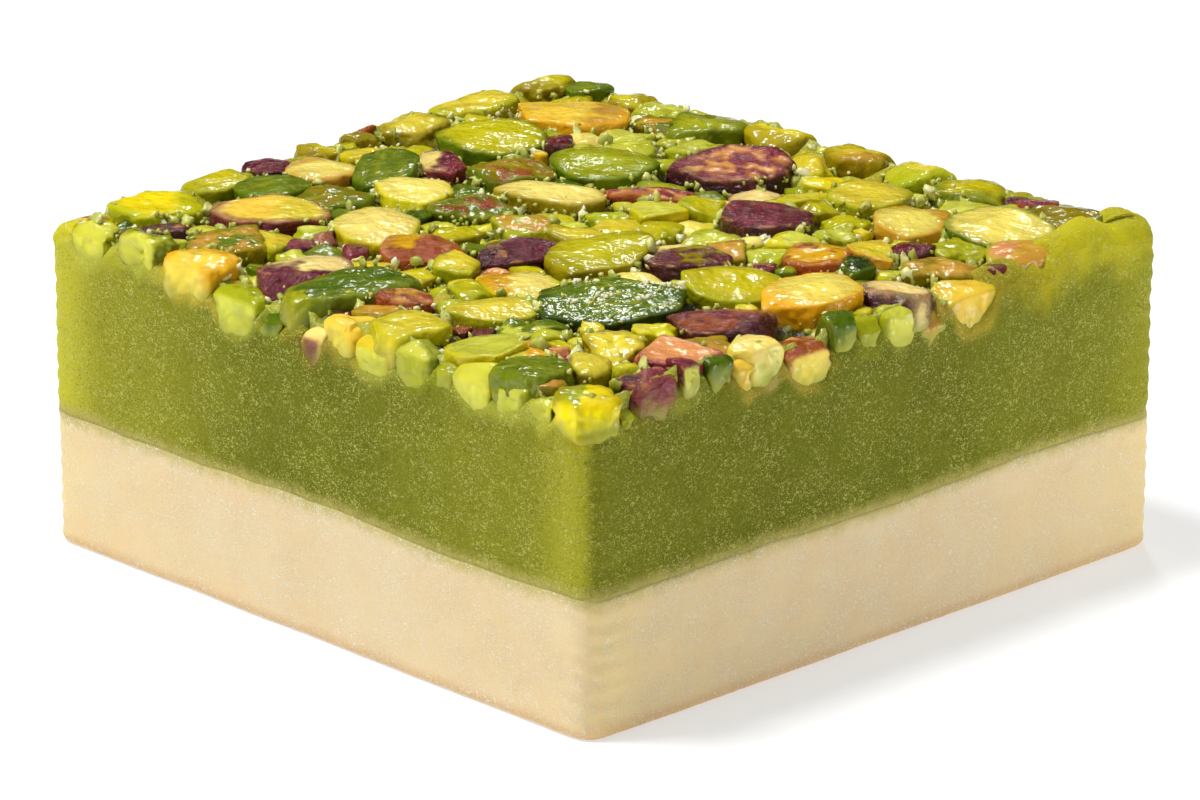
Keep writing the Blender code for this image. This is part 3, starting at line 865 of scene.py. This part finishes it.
class Piece:
    """A piece of kernel: the space inside planes, each a normal and a distance from the piece's middle."""

    def __init__(self, words, place, heading, length, width, top, depth, seed):
        top_tone, side_tone, form, *rest = words.split()
        self.tones = {"top": top_tone, "side": side_tone, "face": top_tone}
        self.patches, self.slope = [], None
        for word in rest:
            where, tone = word.split("=")
            if where == "face":
                self.tones["face"] = tone
            elif where == "slope":
                self.slope = WAYS[tone]
            else:
                way, _, start = where.partition(".")
                self.patches.append((way, float("0." + (start or "0")), tone))
        self.form, self.kind, self.seed = form, KIND_OF_TONE[top_tone], seed
        self.along = toward(heading)
        self.across = np.array((-self.along[1], self.along[0]))
        self.length, self.width, self.depth, self.top = length, width, depth, top
        self.head = depth * HEAD_SHARE
        self.middle = np.array((*place, top - self.head))
        self.normals, self.reach, self.zones = [], [], []
        self.dice = random.Random(seed)

    def add_plane(self, normal, reach, zone):
        self.normals.append(np.array(normal, float) / np.linalg.norm(normal))
        self.reach.append(max(reach, 0.2))
        self.zones.append(ZONES.index(zone))

    def slant(self, way, lean, share, zone):
        """Adds a slanting cut, at a share of the distance at which it would touch the edge of the top."""
        reach = self.support(way) * math.sin(lean) + self.head * math.cos(lean)
        self.add_plane((*(way * math.sin(lean)), math.cos(lean)), reach * share, zone)

    def draw_cut(self, low, high):
        """A random level direction, and a random lean between two angles in degrees."""
        return toward(self.dice.uniform(0, math.tau)), math.radians(self.dice.uniform(low, high))

    def support(self, way):
        """How far the piece's oval reaches from its middle in a level direction."""
        return math.hypot(self.along @ way * self.length / 2, self.across @ way * self.width / 2)

    def oval(self, places):
        """How far out places lie from the middle, 1 at the outline of the piece's oval."""
        away = places - self.middle[:2]
        return np.hypot(away @ self.along / (self.length / 2), away @ self.across / (self.width / 2))

    def below(self):
        """How far a piece that shows at a side of the block reaches below its middle."""
        return min(self.depth - self.head, 2.8 if self.slope is None else 1.8)

    def spread(self):
        turn = np.stack([self.along, self.across], axis=1)
        return turn @ np.diag([self.length**2 / 4, self.width**2 / 4]) @ turn.T

    def shape(self, tilt):
        """Adds the top, the bottom, the sides and the slanting cuts that the piece's form asks for."""
        sides, jitter, least, cuts = FORMS[self.form][:4]
        dice = self.dice
        self.add_plane((*tilt, 1), self.head, "top")
        self.add_plane((0, 0, -1), self.depth - self.head, "side")
        for _ in range(2):
            cut = self.draw_cut(5, 13)
            self.slant(*cut, dice.uniform(0.8, 0.95), "top")
        if self.slope is not None:
            reach = self.support(self.slope) * 0.75 + self.head * 0.66
            self.add_plane((*(self.slope * 0.75), 0.66), reach * 0.6, "side")
        outer = any(reach - way @ self.middle[:2] < self.support(way) for way, reach in BLOCK_SIDES)
        start = dice.uniform(0, math.tau)
        for number in range(sides):
            angle = start + math.tau * (number + dice.uniform(-jitter, jitter)) / sides
            way, lean = toward(angle), dice.uniform(-0.32, 0.12) * (0.6 if outer else 1)
            reach = self.support(way) * dice.uniform(least, 1) / math.hypot(1, lean)
            self.add_plane((*way, lean), reach, "side")
        for _ in range(cuts):
            cut = self.draw_cut(14, 50)
            zone = "top" if dice.random() < 0.6 else "side"
            self.slant(*cut, dice.uniform(0.74, 0.93), zone)

    def trim(self):
        """Cuts the piece flush with the sides of the block."""
        for normal, reach in BLOCK_SIDES:
            room = reach - FACE_INSET - normal @ self.middle[:2] - 0.8 * bank(self.middle[None])[0]
            if room < LEAST_ROOM:
                self.middle[:2] += normal * (room - LEAST_ROOM)
                room = LEAST_ROOM
            if room < self.support(normal) * 1.05:
                pull = min(max(room - 0.4 * self.support(normal), 0), 1.3)
                self.middle[:2] += normal * pull
                room -= pull
                self.add_plane((*normal, 0), room, "face")
                lean = math.radians(self.dice.uniform(30, 55))
                reach = room * math.sin(lean) + self.head * math.cos(lean)
                slope = (*(normal * math.sin(lean)), math.cos(lean))
                self.add_plane(slope, reach - self.dice.uniform(0.2, 1.0), "top")
                along = np.array((-normal[1], normal[0]))
                for angle in FACE_CORNERS:
                    angle = math.radians(angle + self.dice.uniform(-8, 8))
                    high = self.head * 1.3 if angle > 0 else self.below()
                    wide = abs(self.support(along) * math.cos(angle))
                    tall = abs(high * math.sin(angle))
                    reach = (wide**FACE_POWER + tall**FACE_POWER) ** (1 / FACE_POWER)
                    way = (*(along * math.cos(angle)), math.sin(angle))
                    self.add_plane(way, reach * self.dice.uniform(0.88, 1.0), "side")

    def press(self, others):
        """Cuts the piece flat where its neighbours press against it."""
        for other in others:
            between = other.middle[:2] - self.middle[:2]
            if other is self or np.hypot(*between) > (self.length + other.length) / 2 + 0.5:
                continue
            normal = np.linalg.solve(self.spread() + other.spread(), between)
            normal /= np.hypot(*normal)
            own_end = self.support(normal)
            reach = max((own_end + between @ normal - other.support(normal)) / 2 - 0.05, 0.3 * own_end)
            if reach < own_end:
                self.add_plane((*normal, self.dice.uniform(-0.15, 0.05)), reach, "side")


def read_kernel(node, words, seed):
    """The piece that a CAD node stands for, a little larger all round so that it meets its neighbours."""
    points, normals = cad_arrays(node)
    low, high = points.min(axis=0), points.max(axis=0)
    level = points[:, :2] - (low + high)[:2] / 2
    along = np.linalg.eigh(level.T @ level)[1][:, 1]
    length, width = (np.ptp(level @ way) + GROWTH for way in (along, (-along[1], along[0])))
    heading = math.atan2(along[1], along[0])
    piece = Piece(words, (low + high)[:2] / 2, heading, length, width, high[2], high[2] - low[2], seed)
    piece.node, piece.kind = node, node.split("_")[0]
    upper = normals[normals[:, 2].argmax()]
    piece.shape(upper[:2] / upper[2] * 1.7 + NEAR * TILT)
    return piece


def new_chip(x, y, wide, deep, top, words, seed, depth=None):
    """A smaller piece. Its width runs across the view, or along the side of the block if depth is given."""
    dice = random.Random(seed)
    heading = math.radians(dice.uniform(-18, 18) + (90 * (x > -y) if depth else 45))
    depth = depth or min(5.5, 1.8 + (wide + deep) * 0.4)
    if deep > wide:
        heading, wide, deep = heading + math.pi / 2, deep, wide
    piece = Piece(words, (x, y), heading, wide, deep, top, depth, seed)
    piece.shape((dice.uniform(-0.25, 0.25) + NEAR[0] * TILT, dice.uniform(-0.25, 0.25) + NEAR[1] * TILT))
    return piece


def fill_gaps(pieces):
    """Adds chips at the widest free places, until no gap is wider than the smallest chip."""
    dice = random.Random(SEED)
    x, y = np.meshgrid(np.arange(-42, 42.1, 0.35), np.arange(-40, 40.1, 0.35))
    cells = np.column_stack([x.ravel(), y.ravel()])
    free = np.minimum(room_at(cells) - LEAST_ROOM, 3 - 1.8 * bank(cells))

    def take(piece):
        np.minimum(free, (piece.oval(cells) - 1) * min(piece.length, piece.width) / 2, out=free)

    for piece in pieces:
        take(piece)
    looks, shares = zip(*FILLING.items())
    chips = []
    while free.max() > SMALLEST_CHIP and len(chips) < MOST_CHIPS:
        best = np.flatnonzero(free > free.max() * 0.93)
        place = best[dice.randrange(len(best))]
        radius = min(free[place], 2.4)
        wide, deep = radius * dice.uniform(2.3, 3.2), radius * dice.uniform(2.2, 2.8)
        top = CHIP_TOP - dice.uniform(0.0, 1.7) - max(0, 1.5 - radius) * dice.uniform(0.3, 1.2)
        words = dice.choices(looks, shares)[0]
        chips.append(new_chip(*cells[place], wide, deep, top, words, SEED + 400 + len(chips)))
        take(chips[-1])
    return chips


BALLS = {}


def ball(level):
    """Points and faces of a sphere of radius 1."""
    if level not in BALLS:
        bm = bmesh.new()
        bmesh.ops.create_icosphere(bm, subdivisions=level, radius=1)
        points = np.array([v.co for v in bm.verts])
        faces = np.array([[v.index for v in f.verts] for f in bm.faces])
        bm.free()
        BALLS[level] = points, faces
    return BALLS[level]


def level_of(piece):
    """How finely a piece is divided: by its size, and finer towards the near corner."""
    size = piece.length + piece.width
    if size > 11.5 and piece.middle[:2] @ NEAR > 2:
        return 6
    return 5 if size > 8 else 4 if size > 5.2 else 3


def together(values, power):
    """The greatest of each row's values, rounded where they meet, and each value's part in it."""
    most = values.max(axis=1, keepdims=True)
    pull = (values / most) ** power
    total = pull.sum(axis=1, keepdims=True)
    return (most * total ** (1 / power))[:, 0], pull / total


def carve(piece, line):
    """The piece's points and faces, with its tone, its skin and its own axes at each point."""
    sharpness, lump_depth = FORMS[piece.form][4:]
    zones = np.array(piece.zones)
    cut = zones == ZONES.index("face")
    if cut.any():
        sharpness = FACE_SHARPNESS
    sphere, faces = ball(level_of(piece))
    local = sphere * (piece.length / 2, piece.width / 2, piece.depth / 2)
    rays = np.column_stack([local[:, :2] @ np.stack([piece.along, piece.across]), local[:, 2]])
    share = np.maximum(rays @ np.array(piece.normals).T, 0) / np.array(piece.reach)
    part = np.zeros_like(share)
    nearness, part[:, ~cut] = together(share[:, ~cut], sharpness)
    if cut.any():
        nearest = np.column_stack([nearness, share[:, cut].max(axis=1)])
        size = "small" if piece.length < SMALL_FACED else "large"
        nearness, halves = together(nearest, RIM_SHARPNESS[size])
        part[:, ~cut] *= halves[:, :1]
        part[:, cut] = halves[:, 1:] / cut.sum()
    scale = 1 / nearness
    weights = [part[:, zones == zone].sum(axis=1) for zone in range(len(ZONES))]
    side = share[:, zones == 0].max(axis=1) / share.max(axis=1)
    points = piece.middle + rays * scale[:, None]
    moved = points + 50 * piece.seed
    lumps = waves(moved, (1, 2.6, 31), (0.5, 1.2, 32), (0.25, 0.6, 33))
    lumps *= max(lump_depth, 0.35 * cut.any()) * (0.45 + weights[0] + 0.5 * weights[2])
    out = rays / np.linalg.norm(rays, axis=1)[:, None]
    points = points + out * lumps[:, None]
    return points, faces, colour_piece(piece, points, local * scale[:, None], weights, side, line)


def colour_piece(piece, points, local, weights, side_share, line):
    """The tone, skin and grain of each point. The rim of a cut face takes the tone of the outside."""
    dice = random.Random(piece.seed * 3 + 1)
    level = points[:, :2] - piece.middle[:2]
    soft = wavy(points + 9 * piece.seed, 2.4, 41)
    fine = wavy(points + 9 * piece.seed, 0.8, 42)
    share = dict(zip(ZONES, weights))
    rim = smooth(0.78, 0.96, side_share + 0.04 * fine) * (1 - share["side"])
    tones = {zone: np.broadcast_to(linear(TONES[piece.tones[zone]]), points.shape) for zone in ZONES}
    skins = {zone: np.full(len(points), float(piece.tones[zone] in SKINS)) for zone in ZONES}

    oval = np.hypot(local[:, 0] / (piece.length / 2), local[:, 1] / (piece.width / 2))
    heart = (1 - smooth(0.15, 0.85, oval + 0.3 * soft)) * (1 - skins["top"])
    tones["top"] = blend(tones["top"] * 0.86, tones["top"] * 1.04, heart)
    tones["face"] = tones["face"] * (1.22 - 0.2 * smooth(0, 0.6, soft))[:, None]
    for where, start, tone in piece.patches:
        if where == "spots":
            part = smooth(-0.1, 0.5, 0.6 * soft + 0.7 * fine)
        else:
            part = level @ WAYS[where] / (piece.support(WAYS[where]) + 0.1) + 0.4 * soft + 0.2 * fine
            part = smooth(start - 0.12, start + 0.2, part)
        tones["top"] = blend(tones["top"], linear(TONES[tone]), part)
        skins["top"] = skins["top"] + (float(tone in SKINS) - skins["top"]) * part
    # The sides get darker further below the top: painted shade of the gaps between the pieces.
    deep = smooth(0.3, 4.5, piece.top - points[:, 2])
    tones["side"] = tones["side"] * (1.2 - 0.7 * deep)[:, None]
    tones["side"] = blend(tones["side"], tones["top"], 0.3 * smooth(0.1, 0.9, soft) * (1 - skins["side"]))
    tone = sum(tones[zone] * share[zone][:, None] for zone in ZONES)
    skin = sum(skins[zone] * share[zone] for zone in ZONES)
    rim *= 0.8 - 0.45 * share["face"]
    tone = blend(tone, tones["side"] * 0.92, rim)
    skin = skin + (skins["side"] - skin) * rim
    # A pale blush where the top meets a skinned side: torn skin, and a painted highlight along the edge as
    # well.
    torn = 4 * share["top"] * share["side"] * smooth(-0.1, 0.6, fine) * skins["side"]
    tone = blend(tone, linear(TONES["blush"]), 0.6 * torn)
    tone = tone * dice.uniform(0.9, 1.08) * np.array((dice.uniform(0.97, 1.04), 1, dice.uniform(0.6, 0.95)))

    room = room_at(points)
    close = np.flatnonzero((room < 1.6) & (points[:, 2] < 34))
    smear = np.zeros(len(points))
    if len(close):
        column = np.array([np.argmin(np.hypot(*(OUTLINE - point).T)) for point in points[close, :2]])
        rise = points[close, 2] - line[column] + 0.8 * fine[close]
        inside = 1 - smooth(0.5, 1.6, room[close])
        smear[close] = dice.uniform(0.55, 1) * (1 - smooth(-0.5, 2.8, rise)) * inside
    return {
        "tone": opaque(np.clip(tone, 0, 1)),
        "skin": np.clip(skin, 0, 1),
        "smear": smear,
        "bared": 1 - share["side"],
        "cut": share["face"],
        "grain": local + 7 * piece.seed,
    }


def join_pieces(name, pieces, material, line):
    """All pieces of one kind as one mesh."""
    points, faces, attributes, count = [], [], {}, 0
    for piece in pieces:
        own_points, own_faces, own_attributes = carve(piece, line)
        points.append(own_points)
        faces.append(own_faces + count)
        count += len(own_points)
        for label, values in own_attributes.items():
            attributes.setdefault(label, []).append(values)
    joined = {label: np.concatenate(values) for label, values in attributes.items()}
    return make_mesh(name, np.vstack(points), np.vstack(faces), material, joined)


# ----- The crumbs


def top_height(piece, away):
    """How high the piece stands above its own middle at each place, or -99 beside it."""
    highest, lowest = np.full(len(away), 99.0), np.full(len(away), -99.0)
    held = np.ones(len(away), bool)
    for normal, reach in zip(piece.normals, piece.reach):
        left = reach - away @ normal[:2]
        if abs(normal[2]) < 0.02:
            held &= left > 0
        elif normal[2] > 0:
            highest = np.minimum(highest, left / normal[2])
        else:
            lowest = np.maximum(lowest, left / normal[2])
    return np.where(held & (highest > lowest), highest, -99)


def survey(pieces):
    """An even net of places over the block's top, the height of what lies there and the mean round it."""
    along = np.linspace(0, 1, SURVEY[0])[:, None, None]
    across = np.linspace(0, 1, SURVEY[1])[None, :, None]
    inner = CORNERS * (1 - 0.6 / 40)
    right, left = inner[3] + (inner[0] - inner[3]) * along, inner[2] + (inner[1] - inner[2]) * along
    cells = (left + (right - left) * across).reshape(-1, 2)
    height = paste_top(cells)
    for piece in pieces:
        near = np.flatnonzero(np.abs(cells - piece.middle[:2]).max(axis=1) < piece.length / 2 + 0.6)
        own = piece.middle[2] + top_height(piece, cells[near] - piece.middle[:2])
        height[near] = np.maximum(height[near], own)
    mean = np.pad(height.reshape(SURVEY), 1, mode="edge")
    for _ in range(34):
        mean[1:-1] = (mean[:-2] + 2 * mean[1:-1] + mean[2:]) / 4
        mean[:, 1:-1] = (mean[:, :-2] + 2 * mean[:, 1:-1] + mean[:, 2:]) / 4
    return cells, height, mean[1:-1, 1:-1].ravel(), room_at(cells)


def survey_faces():
    """The numbers of the surveyed places, row by row, and the faces between them."""
    number = np.arange(math.prod(SURVEY)).reshape(SURVEY)
    corners = (number[:-1, :-1], number[:-1, 1:], number[1:, 1:], number[1:, :-1])
    return number, np.stack(corners, axis=-1).reshape(-1, 4)


def make_filling(ground, material):
    """The crumbly mass between the kernels, which stands a little below their tops."""
    cells, _, mean, room = ground
    lumps = waves(on_floor(cells), (0.4, 1.7, 71), (0.3, 0.8, 72), (0.12, 0.4, 73))
    top = np.minimum(mean - FILLING_DEPTH * smooth(0, 4, room) + lumps, FILLING_EDGE + 2.0 * room)
    points = np.column_stack([cells, top])
    number, quads = survey_faces()
    edge = np.concatenate([number[0, :-1], number[:-1, -1], number[-1, :0:-1], number[:0:-1, 0]])
    lower = len(cells) + np.arange(len(edge))
    low_points = np.column_stack([cells[edge], np.full(len(edge), FILLING_FLOOR)])
    points = np.vstack([points, low_points, [0, 0, FILLING_FLOOR]])
    walls = np.stack([np.roll(edge, -1), edge, lower, np.roll(lower, -1)], axis=1)
    floor = np.stack([np.roll(lower, -1), lower, np.full(len(edge), len(points) - 1)], axis=1)
    # low is painted shade where the filling lies deep below the mean height round it.
    low = np.zeros(len(points))
    low[: len(cells)] = smooth(0.5, 1.5, mean - top) * smooth(1, 3, room)
    rim = np.full(len(points), 0.8)
    rim[: len(cells)] = 0.8 * (1 - smooth(1, 3.5, room))
    faces = quads.tolist() + walls.tolist() + floor.tolist()
    return make_mesh("crumbly_filling", points, faces, material, {"low": low, "rim": rim})


def make_bed(ground, pieces):
    """A sheet over kernels and filling. nook says where a gap is, white where dust lies."""
    cells, height, mean, room = ground
    sheet = np.column_stack([cells, height])
    nook = smooth(0.6, 1.4, mean - height) * (room > 0.5) + 0.003 * (room > 1.2)
    nook *= 1.7 * smooth(-0.4, 0.5, wavy(sheet, 3.2, 62))
    white = np.zeros(len(cells))
    for piece in pieces:
        if getattr(piece, "node", "") in DUSTED:
            inside = piece.oval(cells) < 0.9
            white[inside] = smooth(0, 0.5, wavy(sheet[inside], 1.6, 61))
    points = np.column_stack([cells, np.maximum(height, mean - FILLING_DEPTH + 0.2)])
    blank = bpy.data.materials.new("bed")
    return make_mesh("bed", points, survey_faces()[1], blank, {"nook": nook, "white": white})


def crumb_tree(material):
    """Geometry Nodes that scatter angular crumbs over a sheet, more where its nook attribute is high."""
    tree = bpy.data.node_groups.new("scattered_crumbs", "GeometryNodeTree")
    tree.interface.new_socket("Geometry", in_out="INPUT", socket_type="NodeSocketGeometry")
    for label, value in zip(CRUMB_INPUTS, CRUMBS["fine_crumbs"]):
        kind = "NodeSocketInt" if isinstance(value, int) else "NodeSocketFloat"
        tree.interface.new_socket(label, in_out="INPUT", socket_type=kind)
    tree.interface.new_socket("Geometry", in_out="OUTPUT", socket_type="NodeSocketGeometry")

    graph = Graph(tree)
    add, calculate = graph.add, graph.math
    given = add("NodeGroupInput").outputs

    def dice(low, high, turn):
        """A random number, or a random vector if the ends are vectors, for each crumb."""
        kind, first, output = ("FLOAT_VECTOR", 0, 0) if isinstance(low, tuple) else ("FLOAT", 2, 1)
        ends = {f"_{first}": low, f"_{first + 1}": high}
        seed = calculate("ADD", given["Seed"], float(turn))
        return add("FunctionNodeRandomValue", {"data_type": kind}, Seed=seed, **ends).outputs[output]

    def named(label):
        node = add("GeometryNodeInputNamedAttribute", {"data_type": "FLOAT"}, Name=label)
        return node.outputs["Attribute"]

    def vector(operation, **inputs):
        return add("ShaderNodeVectorMath", {"operation": operation}, **inputs).outputs[0]

    nook, white = named("nook"), named("white")
    density = calculate("MULTIPLY_ADD", nook, given["Density"], calculate("MULTIPLY", white, given["Dust"]))
    source = {"Mesh": given["Geometry"], "Density": density, "Seed": given["Seed"]}
    spread = add("GeometryNodeDistributePointsOnFaces", **source)
    crystal = add("GeometryNodeMeshIcoSphere", Radius=0.5, Subdivisions=given["Faces"])
    dents = add("ShaderNodeTexNoise", Scale=2.2, Detail=1.0)
    push = vector("SUBTRACT", _0=dents.outputs["Color"], _1=(0.5, 0.5, 0.5))
    offset = vector("SCALE", _0=push, Scale=0.9)
    angular = add("GeometryNodeSetPosition", Geometry=crystal.outputs["Mesh"], Offset=offset)
    size = dice(given["Smallest"], given["Largest"], 1)
    stretch = dice((0.5, 0.5, 0.4), (1.7, 1.2, 0.9), 2)
    scale = vector("SCALE", _0=stretch, Scale=size)
    turn = dice((0, 0, 0), (math.tau,) * 3, 3)
    placed = add(
        "GeometryNodeInstanceOnPoints",
        Points=spread.outputs["Points"],
        Instance=angular.outputs["Geometry"],
        Rotation=turn,
        Scale=scale,
    )
    shade = calculate("MAXIMUM", dice(0.0, 1.0, 4), white)
    stored = add(
        "GeometryNodeStoreNamedAttribute",
        {"data_type": "FLOAT", "domain": "INSTANCE"},
        Geometry=placed.outputs["Instances"],
        Name="shade",
        Value=shade,
    )
    real = add("GeometryNodeRealizeInstances", Geometry=stored.outputs["Geometry"])
    soft = add("GeometryNodeSetShadeSmooth", Geometry=real.outputs["Geometry"])
    coloured = add("GeometryNodeSetMaterial", Geometry=soft.outputs["Geometry"], Material=material)
    add("NodeGroupOutput", Geometry=coloured.outputs["Geometry"])
    return tree


def scatter_crumbs(name, bed, tree, settings):
    """Crumbs on the bed as one plain mesh."""
    settings = dict(zip(CRUMB_INPUTS, settings))
    modifier = bed.modifiers.new(name, "NODES")
    modifier.node_group = tree
    for item in tree.interface.items_tree:
        if item.item_type == "SOCKET" and item.in_out == "INPUT" and item.name in settings:
            modifier[item.identifier] = settings[item.name]
    bed.update_tag()
    graph = bpy.context.evaluated_depsgraph_get()
    mesh = bpy.data.meshes.new_from_object(bed.evaluated_get(graph))
    bed.modifiers.remove(modifier)
    mesh.name = name
    return link(name, mesh)


# ----- Floor and light


def make_stage():
    nodes = Nodes("floor_white")
    nodes.set(**FLOOR_LOOKS)
    corners = np.array(((-1, -1, 0), (1, -1, 0), (1, 1, 0), (-1, 1, 0))) * FLOOR_REACH
    floor = make_mesh("floor", corners, [[0, 1, 2, 3]], nodes.material, {})


def add_light(name, place, size, power):
    data = bpy.data.lights.new(name, "AREA")
    data.shape, data.size, data.energy = "DISK", size, power
    light = link(name, data)
    light.location = place
    light.rotation_euler = (Vector(LIT_PLACE) - Vector(place)).to_track_quat("-Z", "Y").to_euler()


def make_lights():
    world = bpy.data.worlds.new("studio")
    world.use_nodes = True
    graph = Graph(world.node_tree)
    way = graph.add("ShaderNodeTexCoord").outputs["Generated"]
    height = graph.add("ShaderNodeSeparateXYZ", _0=way).outputs["Z"]
    fade = graph.add("ShaderNodeMapRange", Value=height, **SKY_FADE)
    background = graph.tree.nodes["Background"]
    graph.put(background, "Strength", fade.outputs["Result"])
    graph.put(background, "Color", (1, 1, 1, 1))
    bpy.context.scene.world = world
    for light in LIGHTS:
        add_light(*light)


def make_camera():
    data = bpy.data.cameras.new("camera")
    data.lens, data.sensor_width, data.clip_start = CAMERA_LENS, 36, 0.01
    camera = link("camera", data)
    camera.location = CAMERA_PLACE
    camera.rotation_euler = [math.radians(angle) for angle in CAMERA_TURN]
    bpy.context.scene.camera = camera
    bpy.context.scene.view_settings.view_transform = "Standard"


# ----- Assembly


def install(piece, slot, *nodes):
    if nodes:
        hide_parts(*nodes)
    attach(piece, "root")


def main():
    kernels, chips = [], []
    for kind, looks in KERNELS.items():
        for number, words in enumerate(looks, 1):
            kernels.append(read_kernel(f"{kind}_kernel_{number:02}", words, SEED + len(kernels)))
    for number, (x, y, wide, deep, top, words, *depth) in enumerate(CHIPS):
        chips.append(new_chip(x, y, wide, deep, top, words, SEED + 200 + number, *depth))
    chips += fill_gaps(kernels + chips)
    pieces = kernels + chips
    for piece in pieces:
        piece.trim()
        piece.press(pieces)

    almond, pistachio = (paste_material(name, **settings) for name, settings in PASTES.items())
    line = paste_line(pieces)
    install(make_almond_base(almond), "almond_base", "almond_base")
    install(make_pistachio_paste(pistachio, line), "pistachio_layer", "pistachio_layer")

    for kind in sorted(KINDS):
        material = kernel_material(f"{kind}_kernel")
        for label, group in (("kernels", kernels), ("chips", chips)):
            members = [piece for piece in group if piece.kind == kind]
            if members:
                joined = join_pieces(f"{kind}_{label}", members, material, line[0])
                install(joined, f"{kind}_kernel", *[piece.node for piece in members if label == "kernels"])

    ground = survey(pieces)
    install(make_filling(ground, filling_material("crumbly_filling")), "pistachio_layer")
    bed = make_bed(ground, pieces)
    tree = crumb_tree(crumb_material("crumbs"))
    for name, settings in CRUMBS.items():
        install(scatter_crumbs(name, bed, tree, settings), "pale_kernel")
    bpy.data.objects.remove(bed)


make_camera()
make_lights()
make_stage()
main()
